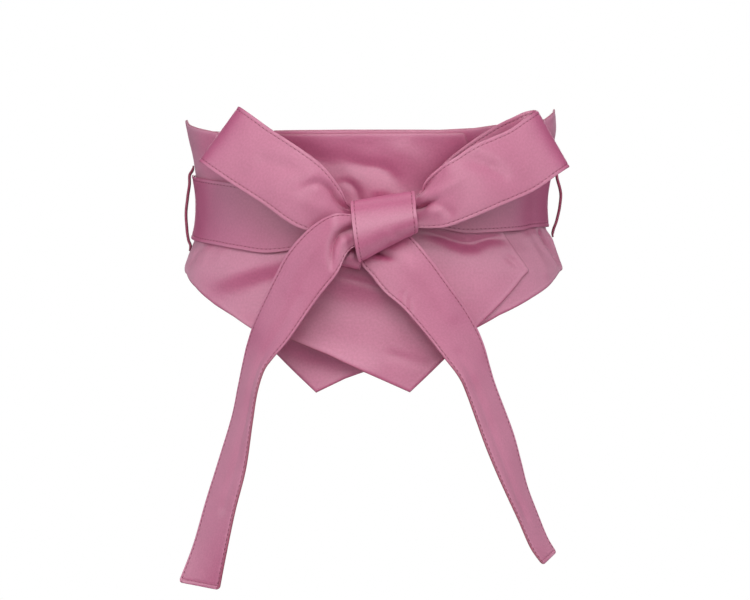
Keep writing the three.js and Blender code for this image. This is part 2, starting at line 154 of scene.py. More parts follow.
LEFT_LOOP = table(
    Section, (-1, -105.5, -9.6, 7, 0), (-13.5, -106, -10.5, 7.5, 2),
    (-23.5, -107, -8.5, 15.5, 16, 0, 1), (-33.5, -108, -2, 19, 26, 0, 2),
    (-43, -108, 5, 21.5, 28, 0, 3), (-58, -106, 16, 21.5, 34, 0, 3),
    (-77, -100.8, 28.5, 21.7, 37, 0, 2), (-90, -95.8, 37.7, 22, 36.3, 0, 1),
    (-96.6, -89.6, 42.5, 22, 36), (-98.7, -82, 44, 22, 36), (-96.2, -75, 42.3, 21.8, 36),
    (-90, -74.4, 38, 21.5, 36), (-77, -82, 29, 21, 36, 0, -2), (-58, -90, 17, 20.5, 34, 0, -2),
    (-43, -95, 7, 20, 28, 0, -1), (-30, -98.5, -3, 16, 20), (-13.5, -101.5, -10.9, 7.3, 2),
    (-1, -102, -10.2, 6.6, 0),
)
RIGHT_LOOP = table(
    Section, (16, -106, -7.4, 9.4, 0), (29.5, -106.3, -6.7, 10.7, -3), (37, -107, -2.3, 15.5, -9, 0, 1),
    (45.5, -108, 2, 19, -9, 0, 2), (58, -108, 8, 20.2, -14, 0, 3), (73.5, -106, 16, 21.3, -21, 0, 3),
    (95.3, -99.8, 25.7, 21.3, -24, 0, 2), (109, -94, 35.1, 21, -28.2, 0, 1),
    (115.6, -87.4, 39.6, 21, -29.4), (117.7, -79.5, 41, 21, -29.5), (115, -72.5, 41.8, 21, -29.2),
    (109, -72, 40.4, 21, -28), (102, -74, 37, 21, -26, 0, -1), (88, -81, 30.5, 20.5, -22, 0, -2),
    (69, -89.5, 19, 20, -18, 0, -1), (48, -97, 6.5, 17, -9), (29.5, -101.5, -6.5, 9, -3),
    (16, -102, -7.6, 8.6, 0),
)
LEFT_TAIL = table(
    Section, (-1, -112.2, -18.5, 9.5, 0), (-12.7, -112.8, -19.5, 10.8, -5),
    (-21, -115.2, -22.5, 14, -17, 0, 1), (-30, -114.5, -31.5, 17, -30, 8, 2),
    (-41, -111.5, -44, 17, -42, 14, 2), (-50, -108, -58, 15.5, -49, 22, 2),
    (-63.5, -103, -81.5, 13, -55, 36, 2), (-71.7, -98, -96, 9.8, -59, 50, 1.5),
    (-76, -96, -106, 7.7, -66, 58, 1.5), (-79.9, -95, -121.5, 6.8, -76, 62, 1.5),
    (-83.5, -94, -141, 7.3, -79, 60.5, 1.5), (-90, -93, -170, 9.6, -79, 53, 1.5),
    (-97.5, -92, -196.5, 10.4, -79, 50, 1.5), (-104.5, -91, -224.5, 11.5, -81, 45, 1),
    (-111.4, -90, -248.2, 13.8, -83, 32, 0.5),
)
RIGHT_TAIL = table(
    Section, (7, -98.3, -22, 12, -112), (8.5, -101.5, -30, 18, -119, 0, 1),
    (16, -103.5, -39, 18.4, -122, 0, 2), (24, -105, -49, 18.4, -121, -4, 2),
    (34.7, -105, -61, 16.7, -116, -14, 2), (45.4, -103, -74.5, 16, -113, -24, 2),
    (53.6, -101, -86.3, 15, -111, -31, 2), (60, -100, -97.5, 13.4, -108, -38, 1.5),
    (66.2, -98.5, -110, 10.8, -105, -48, 1.5), (70.8, -97, -122, 10, -103, -50, 1.5),
    (81.5, -95, -151, 10.2, -105, -50, 1.5), (88, -94, -170, 9, -108, -54, 1.5),
    (94, -93, -187, 7.4, -108, -59, 1.5), (101, -92, -203.6, 6.7, -108, -61, 1),
    (108, -91, -220, 6.4, -114, -62, 1), (114.9, -90, -230.6, 5.8, -122, -62, 0.5),
)
KNOT = table(
    Section, (6, -93.6, -3.5, 19, 80), (6.5, -99, 1.2, 20, 80.5), (7, -106.5, 2.4, 20.8, 80.7),
    (7.4, -113, -2.2, 21, 79.5), (8, -117.2, -10, 21, 76), (8.8, -118.8, -17, 21.2, 71.5),
    (9.8, -117.2, -24, 21.5, 67), (10.5, -111, -29.2, 21.3, 63), (10.3, -104, -28.2, 20, 64),
)
KNOT_UNDER = table(
    Section, (-10.5, -99, -19, 4, 90, 0, 2), (-13, -99.5, -27, 5.2, 96, 0, 3.5),
    (-14.3, -102.2, -33.5, 7.4, 101, 0, 6), (-14.6, -101.6, -39.4, 7.6, 104, 0, 6),
    (-14, -97.8, -42, 6.4, 103, 0, 3), (-13, -95.2, -37.5, 6.5, 100), (-11.5, -94.6, -28, 5, 92),
)
LEFT_CARRIER = table(
    Stand, (-30.4, 2.35), (-28.2, 2.6), (-26.4, 3.2), (-23.2, 5.6), (-16, 8.8), (-5, 10.7), (7, 9.4),
    (15, 7.1), (21, 5.8), (23.6, 3.8), (25.4, 2.8), (27.2, 2.35),
)
RIGHT_CARRIER = table(
    Stand, (-21, 5), (-19, 5.3), (-15, 7.2), (-10.8, 9.4), (-5, 11.3), (0, 12.4), (7, 12.9), (12, 11.6),
    (19, 8.4), (27, 6.2), (31, 3.8), (33, 2.8), (35, 2.35),
)


class Held(Enum):
    """How a piece of cloth is held."""

    STRETCHED = "stretched"
    FOLDED = "folded"
    HUNG = "hung"


class Side(Enum):
    """A side of the belt, as it is looked at from the front."""

    LEFT = -1
    RIGHT = 1


class Layer(Enum):
    """What a body panel lies on."""

    FORM = 0
    UNDER_PANEL = 1


class Face(Enum):
    """Which way a stretch's cloth has to be moved to stand out from the belt."""

    OUT = 1
    IN = -1


class Floats(Enum):
    """Which way a satin's long threads run on the cut, as a share of a whole turn of its highlight."""

    ALONG = 0.25
    ACROSS = 0.0


class Curve:
    """A curve through a table, from the values in one column to those in another."""

    def __init__(self, rows: Sequence[NamedTuple], column: str, along: str = "",
                 smooth: bool = True) -> None:
        """Reads the two columns.

        Args:
            rows: the table.
            column: the column that is read.
            along: the column that it is read by, in rising order, or nothing for the rows' numbers.
            smooth: whether the curve is round at the rows, or straight between them.
        """
        places = [getattr(row, along) for row in rows] if along else range(len(rows))
        self.places = np.array(places, float)
        self.values = np.array([getattr(row, column) for row in rows], float)
        self.smooth = smooth
        last = len(rows) - 1
        before = np.maximum(np.arange(last + 1) - 1, 0)
        after = np.minimum(np.arange(last + 1) + 1, last)
        rise = self.values[after] - self.values[before]
        self.slopes = rise / (self.places[after] - self.places[before])

    def __call__(self, at: Numbers) -> Numbers:
        """Reads the curve.

        Args:
            at: the places.

        Returns:
            The curve's value at each place.
        """
        k = np.clip(np.searchsorted(self.places, at) - 1, 0, len(self.places) - 2)
        span = self.places[k + 1] - self.places[k]
        t = np.clip((at - self.places[k]) / span, 0, 1)
        start, end = self.values[k], self.values[k + 1]
        if not self.smooth:
            return start + (end - start) * t
        value = (1 + 2 * t) * (1 - t) ** 2 * start + (3 - 2 * t) * t**2 * end
        bend = t * (1 - t) ** 2 * self.slopes[k] - (1 - t) * t**2 * self.slopes[k + 1]
        return value + span * bend


def smoothstep(at: Numbers, start: float, end: float) -> Numbers:
    """Rises smoothly from 0 at the start to 1 at the end."""
    t = np.clip((at - start) / (end - start), 0, 1)
    return t * t * (3 - 2 * t)


def stacked(*columns: Numbers) -> Numbers:
    """Joins the numbers of a grid's points, such as their x, y and z, into points."""
    return np.stack(np.broadcast_arrays(*columns), axis=-1)


def runs_along(points: Numbers) -> Numbers:
    """Measures how far along a line each of its points is."""
    steps = np.linalg.norm(np.diff(points, axis=0), axis=1)
    return np.concatenate([[0], np.cumsum(steps)])


@dataclass(frozen=True)
class Crease:
    """A soft trough or ridge along a line on the cloth.

    line holds points of two places on the cloth and the height there, raised (+) or sunk (-), in
    millimetres. On a panel the places are a turn and a height on the form, and on a stretch of the
    sash a section's number and a share of the half width. wide is the half width of the crease in
    millimetres, and a lower crisp makes a sharper bottom.
    """

    line: tuple[tuple[float, float, float], ...]
    wide: float
    crisp: float = 2.0

    def height(self, a: Numbers, b: Numbers) -> Numbers:
        """Works out how far the crease moves the cloth.

        Args:
            a: the first place of each point, in the line's units.
            b: the second place of each point, in the line's units.

        Returns:
            The height at each point, in millimetres.
        """
        nearest = np.full(a.shape, np.inf)
        rise = np.zeros(a.shape)
        for (a0, b0, h0), (a1, b1, h1) in zip(self.line, self.line[1:]):
            da, db = a1 - a0, b1 - b0
            t = np.clip(((a - a0) * da + (b - b0) * db) / (da * da + db * db), 0, 1)
            away = np.hypot(a - a0 - da * t, b - b0 - db * t)
            closer = away < nearest
            nearest = np.where(closer, away, nearest)
            rise = np.where(closer, h0 + (h1 - h0) * t, rise)
        return rise * np.exp(-((nearest / self.wide) ** self.crisp))


def creased(creases: Sequence[Crease], a: Numbers, b: Numbers,
            placed: Callable[[float, float], tuple[float, float]]) -> Numbers:
    """Adds up the heights of several creases.

    Args:
        creases: the creases.
        a: the first place of each point, in millimetres.
        b: the second place of each point, in millimetres.
        placed: turns a crease's two places into millimetres.

    Returns:
        The height at each point, in millimetres.
    """
    a, b = np.broadcast_arrays(a, b)
    out = np.zeros(a.shape)
    for crease in creases:
        line = tuple((*placed(first, second), height) for first, second, height in crease.line)
        out += replace(crease, line=line).height(a, b)
    return out


def on_form(turn: float, z: float) -> tuple[float, float]:
    """Turns the two places of a panel's crease, which are a turn and a height, into millimetres."""
    return turn * MM_PER_DEGREE, z


def slack(a: Numbers, b: Numbers) -> Numbers:
    """The slight unevenness that pressed cloth keeps: long low swells and ripples in no one direction."""
    swell = SWELL_HEIGHT * np.sin(a / 13.0 + 0.8 * np.sin(b / 19.0)) * np.sin(b / 15.0 + 1.1)
    return swell + RIPPLE_HEIGHT * np.sin(a / 6.3 - b / 8.9 + 2.0) * np.sin(b / 21.0 + a / 33.0)


@dataclass(frozen=True)
class Edge:
    """The finish of a cloth edge, by the distance from it.

    shares are the cloth's thickness as a share of the wall, and tones the painted light in its colour:
    below 0 painted shade, at the very edge and along a seam line, and above 0 painted highlight, on the
    strip where a rolled edge would catch the light.
    """

    distances: tuple[float, ...]
    shares: tuple[float, ...]
    tones: tuple[float, ...]

    def share(self, distance: Numbers) -> Numbers:
        """Gives the share of the wall at each distance."""
        return np.interp(distance, self.distances, self.shares)

    def tone(self, distance: Numbers) -> Numbers:
        """Gives the tone at each distance."""
        return np.interp(distance, self.distances, self.tones)

    def lines(self, width: float, step: float) -> Numbers:
        """Places the grid's lines over a width, close together by both edges.

        Args:
            width: the width in millimetres.
            step: the distance between lines away from the edges.

        Returns:
            The lines' distances from the first edge.
        """
        near = np.array(self.distances)
        inner_width = width - 2 * near[-1]
        inner = np.linspace(near[-1], width - near[-1], round(inner_width / step) + 1)
        return np.concatenate([near[:-1], inner, width - near[-2::-1]])

    def across(self, width: float, step: float) -> Numbers:
        """Places the grid's lines, as lines does, by their distances from the middle."""
        return self.lines(width, step)[None, :] - width / 2


# Painted shade at the very edge and along the seam line, and painted highlight on the strip between.
STITCHED = Edge(
    (0, 0.25, 0.6, 1.1, 1.7, 2.15, 2.45, 2.75, 3.3, 4.3, 6.0),
    (0.4, 0.74, 0.92, 1.0, 0.94, 0.74, 0.55, 0.72, 0.88, 0.93, 0.93),
    (-0.4, -0.05, 0.22, 0.26, 0.16, -0.1, -0.38, -0.15, 0.05, 0.0, 0.0),
)
SEAM_LINE = STITCHED.distances.index(2.45)
# Painted shade at the very edge, and painted highlight on the turned hem a little way in.
TURNED = Edge(
    (0, 0.5, 1.2, 2.4, 4.0, 6.5), (0.4, 0.75, 0.95, 1.0, 0.94, 0.88), (-0.8, -0.35, 0.15, 0.2, 0.0, 0.0)
)
PLAIN = Edge((0, 0.4, 1.0, 1.8), (0.45, 0.8, 0.97, 1.0), (0.0, 0.0, 0.0, 0.0))


@dataclass(frozen=True)
class Seam:
    """A row of stitches: the points that it follows, and the way out of the cloth at each.

    long, wide and high are half of a stitch's own sizes.
    """

    points: Numbers
    outward: Numbers
    long: float = 1.05
    wide: float = 0.24
    high: float = 0.2

    def stitches(self) -> list[Matrix]:
        """Places the row's stitches.

        Returns:
            A matrix for each stitch, which turns a ball of radius 1 into it.
        """
        runs = runs_along(self.points)
        made = []
        for k in range(int(runs[-1] / STITCH_PITCH)):
            middle = (k + 0.5) * STITCH_PITCH
            start, centre, end = (self.read(self.points, runs, middle + off)
                                  for off in (-self.long, 0, self.long))
            out = Vector(self.read(self.outward, runs, middle))
            along = Vector(end - start).normalized()
            side = out.cross(along).normalized()
            up = along.cross(side)
            turned = Matrix((along * self.long, side * self.wide, up * self.high)).transposed()
            place = Matrix.Translation(Vector(centre) + out)
            made.append(Matrix.Scale(MM, 4) @ place @ turned.to_4x4())
        return made

    def read(self, values: Numbers, runs: Numbers, at: float) -> Numbers:
        """Reads a point part of the way along the row."""
        return np.array([np.interp(at, runs, values[:, axis]) for axis in range(3)])


@dataclass
class Lay:
    """A piece of cloth laid out on a grid.

    points holds where each point is, cut where it was on the flat cut, wall the cloth's thickness
    there, and tone the painted light in its colour: painted highlight above 0 and painted shade below.
    hole_share and beside_share are what a needle hole leaves of the wall, there and on both sides of it.
    """

    points: Numbers
    cut: Numbers
    wall: Numbers
    tone: Numbers | float
    hole_share: float = 0.72
    beside_share: float = 0.93

    def __post_init__(self) -> None:
        """Gives every point its own wall and tone."""
        shape = self.points.shape[:2]
        self.wall, self.tone = (np.broadcast_to(part, shape).copy() for part in (self.wall, self.tone))

    def normals(self) -> Numbers:
        """Gives the cloth's direction at each point, square to the grid's columns and rows."""
        square = np.cross(np.gradient(self.points, axis=0), np.gradient(self.points, axis=1))
        return square / np.maximum(np.linalg.norm(square, axis=2, keepdims=True), 1e-9)

    def raise_by(self, height: Numbers) -> None:
        """Moves each point along the cloth's direction."""
        self.points = self.points + self.normals() * height[..., None]

    def pucker(self) -> None:
        """Draws the cloth in at the needle holes, which are at every other column of the seams."""
        for line in (SEAM_LINE, -1 - SEAM_LINE):
            self.wall[::2, line] *= self.hole_share
            for beside in (line - 1, line + 1):
                self.wall[::2, beside] *= self.beside_share

    def seams(self, hemmed: bool = False) -> list[Seam]:
        """Follows the seams on both faces: along both edges, and over a hem.

        Args:
            hemmed: whether the last end has a hem.

        Returns:
            The rows of stitches.
        """
        lines = [np.s_[:, SEAM_LINE], np.s_[:, -1 - SEAM_LINE]]
        if hemmed:
            lines.append(np.s_[-1 - SEAM_LINE, SEAM_LINE:-SEAM_LINE])
        normals = self.normals()
        return [Seam(self.points[line], side * normals[line] * (self.wall[line].max() / 2))
                for line in lines for side in (1, -1)]


def sewn(name: str, lay: Lay, finish: Material) -> Object:
    """Makes a closed wall of cloth on a grid.

    Args:
        name: the piece's name.
        lay: the cloth.
        finish: its material.

    Returns:
        The piece, with its wall as a live modifier.
    """
    columns, rows = lay.wall.shape
    thickest = float(lay.wall.max())
    grid = bmesh.new()
    bmesh.ops.create_grid(grid, x_segments=columns - 1, y_segments=rows - 1, size=1.0)
    flat = grid.loops.layers.uv.new("cut")
    share = grid.verts.layers.deform.verify()
    # The tone attribute carries the painted highlight and painted shade that the satin mixes into its colour.
    tone = grid.verts.layers.float.new("tone")
    for vert in grid.verts:
        j, i = divmod(vert.index, columns)
        vert.co = lay.points[i, j] * MM
        vert[share][0] = lay.wall[i, j] / thickest
        vert[tone] = lay.tone[i, j]
        for loop in vert.link_loops:
            loop[flat].uv = lay.cut[i, j] * MM
    piece = as_piece(name, grid, finish)
    piece.vertex_groups.new(name="wall")
    wall = piece.modifiers.new("wall", "SOLIDIFY")
    wall.thickness = thickest * MM
    wall.offset = 0.0
    wall.vertex_group = "wall"
    return piece


def as_piece(name: str, shape: bmesh.types.BMesh, finish: Material) -> Object:
    """Turns a bmesh into an object of the scene.

    Args:
        name: the piece's name.
        shape: the bmesh, which is freed.
        finish: its material.

    Returns:
        The new object, at the origin.
    """
    mesh = bpy.data.meshes.new(name)
    shape.to_mesh(mesh)
    shape.free()
    mesh.shade_smooth()
    mesh.materials.append(finish)
    piece = bpy.data.objects.new(name, mesh)
    bpy.context.collection.objects.link(piece)
    return piece


def stitched(name: str, seams: Sequence[Seam], thread: Material) -> Object:
    """Makes the stitches of several seams as one joined piece.

    Args:
        name: the piece's name.
        seams: the rows.
        thread: the thread's material.

    Returns:
        The stitches.
    """
    shape = bmesh.new()
    for seam in seams:
        for place in seam.stitches():
            bmesh.ops.create_icosphere(shape, subdivisions=1, radius=1.0, matrix=place)
    return as_piece(name, shape, thread)


@dataclass(frozen=True)
class Cut:
    """What a sheet of cloth is cut as, and how it is held.

    flat is its width and length in metres, rests_on the names of what it lies on or hangs from, and
    area its area in square metres, where the cut isn't a rectangle.
    """

    flat: tuple[float, float]
    held: Held
    rests_on: tuple[str, ...] = ()
    area: float | None = None


def dressed(cloth: Object, node: str, stitches: Sequence[Object] = ()) -> list[Object]:
    """Fastens a piece of cloth and its stitches to the belt, and hides the CAD part that it stands for.

    Args:
        cloth: the cloth.
        node: the CAD node that it stands for.
        stitches: the stitches on it.

    Returns:
        The cloth and its stitches.
    """
    for piece in (cloth, *stitches):
        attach(piece, BODY)
    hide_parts(node)
    return [cloth, *stitches]


class Mixture:
    """A material in the making: its nodes, added one by one round its shader."""

    def __init__(self, name: str) -> None:
        """Starts the material, with its shader alone.

        Args:
            name: the material's name.
        """
        self.material = bpy.data.materials.new(name)
        self.material.use_nodes = True
        self.tree = self.material.node_tree
        self.shader = self.tree.nodes["Principled BSDF"]

    def feed(self, node: Node, inputs: dict[str | int, object]) -> None:
        """Sets or joins a node's inputs.

        Args:
            node: the node.
            inputs: for each input's name or number, its value or the socket that it is joined to.
        """
        for name, given in inputs.items():
            if isinstance(given, NodeSocket):
                self.tree.links.new(given, node.inputs[name])
            else:
                node.inputs[name].default_value = given

    def add(self, kind: str, output: str, inputs: dict[str | int, object] | None = None,
            **settings: object) -> NodeSocket:
        """Adds a node.

        Args:
            kind: the node's type, after its first word ShaderNode.
            output: the name of the output that is wanted.
            inputs: its inputs, as feed takes them.
            settings: the node's own settings.

        Returns:
            The output.
        """
        node = self.tree.nodes.new("ShaderNode" + kind)
        for name, value in settings.items():
            setattr(node, name, value)
        self.feed(node, inputs or {})
        return node.outputs[output]

    def mixed(self, share: NodeSocket, first: Colour | NodeSocket, second: Colour) -> NodeSocket:
        """Mixes two colours.

        Args:
            share: how much of the second there is.
            first: the first colour, or the socket that gives it.
            second: the second colour.

        Returns:
            The socket that gives the mixed colour.
        """
        start = first if isinstance(first, NodeSocket) else (*first, 1)
        return self.add("Mix", "Result", {"Factor": share, "A": start, "B": (*second, 1)}, data_type="RGBA")


class Pattern(NamedTuple):
    """A noise over the cloth: its scale along and across it, for each metre, and its detail."""

    along: float
    across: float
    detail: float


class Relief(NamedTuple):
    """A bump's strength, and its height in millimetres."""

    strength: float
    height: float


@dataclass(frozen=True)
class Satin:
    """A dull satin: its colours, its sheen and grain, and the patterns and reliefs of its threads.

    colour and deep_colour are mixed by the mottle and the flecks. Of the other two colours, the lighter is
    painted highlight and the deeper painted shade, mixed in by the tone. density is its index of
    refraction, and grain how far its highlight is drawn out. weft_share is the cross threads' width as a
    share of thread_mm.
    """

    name: str
    colour: Colour
    deep_colour: Colour
    # Painted highlight and painted shade, which the tone mixes in.
    painted_highlight_colour: Colour = (0.62, 0.21, 0.34)
    painted_shade_colour: Colour = (0.3, 0.028, 0.078)
    sheen: float = 0.1
    sheen_roughness: float = 0.4
    sheen_tint: Colour = (0.93, 0.8, 0.92)
    roughness: tuple[float, float] = (0.56, 0.66)
    specular: float = 0.8
    density: float = 1.9
    grain: float = 0.8
    floats: Floats = Floats.ALONG
    mottle: Pattern = Pattern(55, 55, 3.0)
    flecks: Pattern = Pattern(760, 620, 2.0)
    streaks: Pattern = Pattern(90, 1300, 2.0)
    crumples: Pattern = Pattern(170, 240, 3.0)
    fleck_share: float = 0.65
    tone_spread: tuple[float, float] = (0.35, 0.65)
    thread_mm: float = 0.42
    weft_share: float = 0.45
    crumple_relief: Relief = Relief(0.25, 0.5)
    streak_relief: Relief = Relief(0.12, 0.12)
    weave_relief: Relief = Relief(0.2, 0.06)

    def build(self) -> Material:
        """Builds the finish.

        Returns:
            A material that reads the piece's own cut as its UV map.
        """
        mixture = Mixture(self.name)
        cut = mixture.add("UVMap", "UV", uv_map="cut")
        streaks = self.noise(mixture, cut, self.streaks)
        smoother, rougher = self.roughness
        mixture.feed(mixture.shader, {
            "Base Color": self.with_painted_light(mixture, self.mottled(mixture, cut)),
            "Roughness": mixture.add("MapRange", "Result",
                                     {"Value": streaks, "To Min": smoother, "To Max": rougher}),
            "Specular IOR Level": self.specular,
            "IOR": self.density,
            "Sheen Weight": self.sheen,
            "Sheen Roughness": self.sheen_roughness,
            "Sheen Tint": (*self.sheen_tint, 1),
            "Anisotropic": self.grain,
            "Anisotropic Rotation": self.floats.value,
            "Tangent": mixture.add("Tangent", "Tangent", direction_type="UV_MAP", uv_map="cut"),
            "Normal": self.raised(mixture, cut, streaks),
        })
        return mixture.material

    def noise(self, mixture: Mixture, cut: NodeSocket, pattern: Pattern) -> NodeSocket:
        """Adds a noise over the cloth.

        Args:
            mixture: the material in the making.
            cut: the socket that gives the place on the cut.
            pattern: the noise.

        Returns:
            The socket that gives the noise.
        """
        scale = (pattern.along, pattern.across, 1)
        place = mixture.add("Mapping", "Vector", {"Vector": cut, "Scale": scale})
        return mixture.add("TexNoise", "Fac", {"Vector": place, "Scale": 1.0, "Detail": pattern.detail})

    def mottled(self, mixture: Mixture, cut: NodeSocket) -> NodeSocket:
        """Mixes the cloth's two colours.

        Args:
            mixture: the material in the making.
            cut: the socket that gives the place on the cut.

        Returns:
            The socket that gives the colour.
        """
        mottle, flecks = (self.noise(mixture, cut, pattern) for pattern in (self.mottle, self.flecks))
        both = mixture.add("Mix", "Result", {"Factor": self.fleck_share, "A": mottle, "B": flecks})
        low, high = self.tone_spread
        share = mixture.add("MapRange", "Result", {"Value": both, "From Min": low, "From Max": high})
        return mixture.mixed(share, self.deep_colour, self.colour)

    def with_painted_light(self, mixture: Mixture, colour: NodeSocket) -> NodeSocket:
        """Paints highlight and shade into the colour by the tone: lighter above 0 and deeper below.

        Args:
            mixture: the material in the making.
            colour: the socket that gives the cloth's colour.

        Returns:
            The socket that gives the colour with its painted highlight and shade.
        """
        tone = mixture.add("Attribute", "Fac", attribute_name="tone")
        # Painted highlight for a tone above 0, painted shade for one below.
        for other, sign in ((self.painted_highlight_colour, 1.0), (self.painted_shade_colour, -1.0)):
            share = mixture.add("Math", "Value", {0: tone, 1: sign}, operation="MULTIPLY", use_clamp=True)
            colour = mixture.mixed(share, colour, other)
        return colour

    def weave(self, mixture: Mixture, cut: NodeSocket) -> NodeSocket:
        """Adds the weave: threads across the cloth over threads along it.

        Args:
            mixture: the material in the making.
            cut: the socket that gives the place on the cut.

        Returns:
            The socket that gives the weave's height.
        """
        heights = {}
        for number, (direction, share) in enumerate((("X", 1.0), ("Y", self.weft_share))):
            scale = math.tau / (WAVE_PHASE * self.thread_mm * MM * share)
            heights[number] = mixture.add("TexWave", "Fac", {"Vector": cut, "Scale": scale},
                                          bands_direction=direction)
        return mixture.add("Math", "Value", heights, operation="MULTIPLY")

    def raised(self, mixture: Mixture, cut: NodeSocket, streaks: NodeSocket) -> NodeSocket:
        """Raises the crumples, the long threads on them and the weave on those.

        Args:
            mixture: the material in the making.
            cut: the socket that gives the place on the cut.
            streaks: the socket that gives the long threads' height.

        Returns:
            The socket that gives the cloth's normal.
        """
        crumples = self.noise(mixture, cut, self.crumples)
        below = {}
        for height, relief in ((crumples, self.crumple_relief), (streaks, self.streak_relief),
                               (self.weave(mixture, cut), self.weave_relief)):
            inputs = {"Height": height, "Strength": relief.strength, "Distance": relief.height * MM}
            below = {"Normal": mixture.add("Bump", "Normal", inputs | below)}
        return below["Normal"]


@dataclass(frozen=True)
class Thread:
    """The sewing thread, with its tone a little uneven from stitch to stitch."""

    name: str
    colour: Colour
    light_colour: Colour
    roughness: float = 0.55
    sheen: float = 0.2
    unevenness: float = 260.0

    def build(self) -> Material:
        """Builds the finish.

        Returns:
            The thread's material.
        """
        mixture = Mixture(self.name)
        place = mixture.add("TexCoord", "Object")
        noise = mixture.add("TexNoise", "Fac", {"Vector": place, "Scale": self.unevenness})
        tone = mixture.mixed(noise, self.colour, self.light_colour)
        mixture.feed(mixture.shader, {"Base Color": tone, "Roughness": self.roughness,
                                      "Sheen Weight": self.sheen})
        return mixture.material


@dataclass(frozen=True)
class Finishes:
    """The belt's materials."""

    panel: Material
    sash: Material
    carrier: Material
    thread: Material
    faded_thread: Material


def made_finishes() -> Finishes:
    """Builds the belt's materials.

    Returns:
        All of them.
    """
    panel = Satin("panel_satin", (0.525, 0.11, 0.234), (0.45, 0.085, 0.191), floats=Floats.ACROSS)
    sash = Satin("sash_satin", (0.52, 0.115, 0.237), (0.45, 0.09, 0.195), sheen=0.05)
    # A much deeper copy of the sash's satin: painted shade for the straps, which stand at the side seams.
    carrier = Satin("carrier_painted_shade_satin", (0.29, 0.03, 0.085), (0.24, 0.022, 0.066), sheen=0.0, specular=0.4)
    thread = Thread("thread", (0.17, 0.025, 0.065), (0.25, 0.05, 0.11))
    faded_thread = Thread("faded_thread", (0.27, 0.05, 0.11), (0.35, 0.075, 0.15))
    return Finishes(*(finish.build() for finish in (panel, sash, carrier, thread, faded_thread)))


@dataclass
class WaistForm:
    """The hollow form, which every layer round the waist lies on.

    Folds are pressed flat up to pressed_flat from the sash's edge, and are clear of it from
    pressed_clear.
    """

    rings: tuple[Ring, ...] = FORM
    route: tuple[Pass, ...] = SASH_ROUTE
    pressed_flat: float = -1.0
    pressed_clear: float = 6.0

    def __post_init__(self) -> None:
        """Reads the tables."""
        self.half, self.depth = (Curve(self.rings, name, "z") for name in ("half", "depth"))
        self.sash_middle, self.sash_half = (Curve(self.route, name, "turn") for name in ("middle", "half"))

    def points(self, turn: Numbers, z: Numbers, out: Numbers) -> Numbers:
        """Places points on the form.

        Args:
            turn: degrees from the middle of the front, to the right.
            z: their heights.
            out: how far each is moved out from the form.

        Returns:
            The points, in millimetres.
        """
        angle = np.radians(turn)
        half, depth = self.half(z), self.depth(z)
        outward = stacked(np.sin(angle) / half, -np.cos(angle) / depth, 0 * z)
        outward /= np.linalg.norm(outward, axis=-1, keepdims=True)
        return stacked(half * np.sin(angle), -depth * np.cos(angle), z) + outward * out[..., None]

    def free_of_sash(self, turn: Numbers, z: Numbers) -> Numbers:
        """Works out how free the cloth is of the sash, which presses its folds flat.

        Args:
            turn: the points' turns.
            z: their heights.

        Returns:
            From 0, pressed flat, to 1, free.
        """
        first, last = self.route[0].turn, self.route[-1].turn
        onward = np.clip(np.where(turn < 0, turn + 360, turn), first, last)
        away = np.abs(z - self.sash_middle(onward)) - self.sash_half(onward)
        return smoothstep(away, self.pressed_flat, self.pressed_clear)


@dataclass
class BodyPanel:
    """One of the three shaped panels round the waist.

    climb holds the turns between which it climbs onto its layer, and settles those between which the
    gap below it closes by the share closes. thinned is how much thinner its cloth is than its solid.
    """

    name: str
    node: str
    edges: tuple[Edges, ...]
    layer: Layer
    cut: Cut
    creases: tuple[Crease, ...]
    step: float = 1.7
    climb: tuple[float, float] = (-86.0, -60.0)
    settles: tuple[float, float] = (24.0, 46.0)
    closes: float = 0.7
    thinned: float = 0.2

    def turns(self) -> Numbers:
        """Places the panel's columns: one at each row of its table, and steps between them.

        Returns:
            The columns' turns.
        """
        placed = [np.array([self.edges[0].turn])]
        for start, end in zip(self.edges, self.edges[1:]):
            steps = math.ceil((end.turn - start.turn) * MM_PER_DEGREE / self.step)
            placed.append(np.linspace(start.turn, end.turn, steps + 1)[1:])
        return np.concatenate(placed)

    def lay(self, form: WaistForm) -> Lay:
        """Lays the panel round the form.

        Args:
            form: the form.

        Returns:
            The cloth.
        """
        turn = self.turns()[:, None]
        high, low = (Curve(self.edges, edge, "turn", smooth=False)(turn) for edge in ("high", "low"))
        lines = TURNED.lines(float(np.max(high - low)), self.step)
        z = low + lines / lines[-1] * (high - low)
        run = MM_PER_DEGREE * np.gradient(turn, axis=0)
        from_top, from_low = (np.abs(edge - z) / np.hypot(1, np.gradient(edge, axis=0) / run)
                              for edge in (high, low))
        from_edge = np.minimum(from_top, from_low)
        place = turn * MM_PER_DEGREE
        folds = creased(self.creases, place, z, on_form)
        folds = (folds + slack(place, z)) * form.free_of_sash(turn, z)
        gap = LAYER_GAP * (1 - self.closes * smoothstep(turn, *self.settles))
        lift = self.layer.value * (PANEL_WALL + gap) * smoothstep(turn, *self.climb)
        points = form.points(turn, z, lift + folds + PANEL_WALL / 2)
        wall = (PANEL_WALL - self.thinned) * TURNED.share(from_edge)
        # The tone paints shade at the panel's edges and a highlight on the turned hem beside them.
        return Lay(points, stacked(place, z), wall, TURNED.tone(from_edge))

    def build(self, form: WaistForm, finishes: Finishes) -> list[Object]:
        """Builds and dresses the panel."""
        return dressed(sewn(self.name, self.lay(form), finishes.panel), self.node)


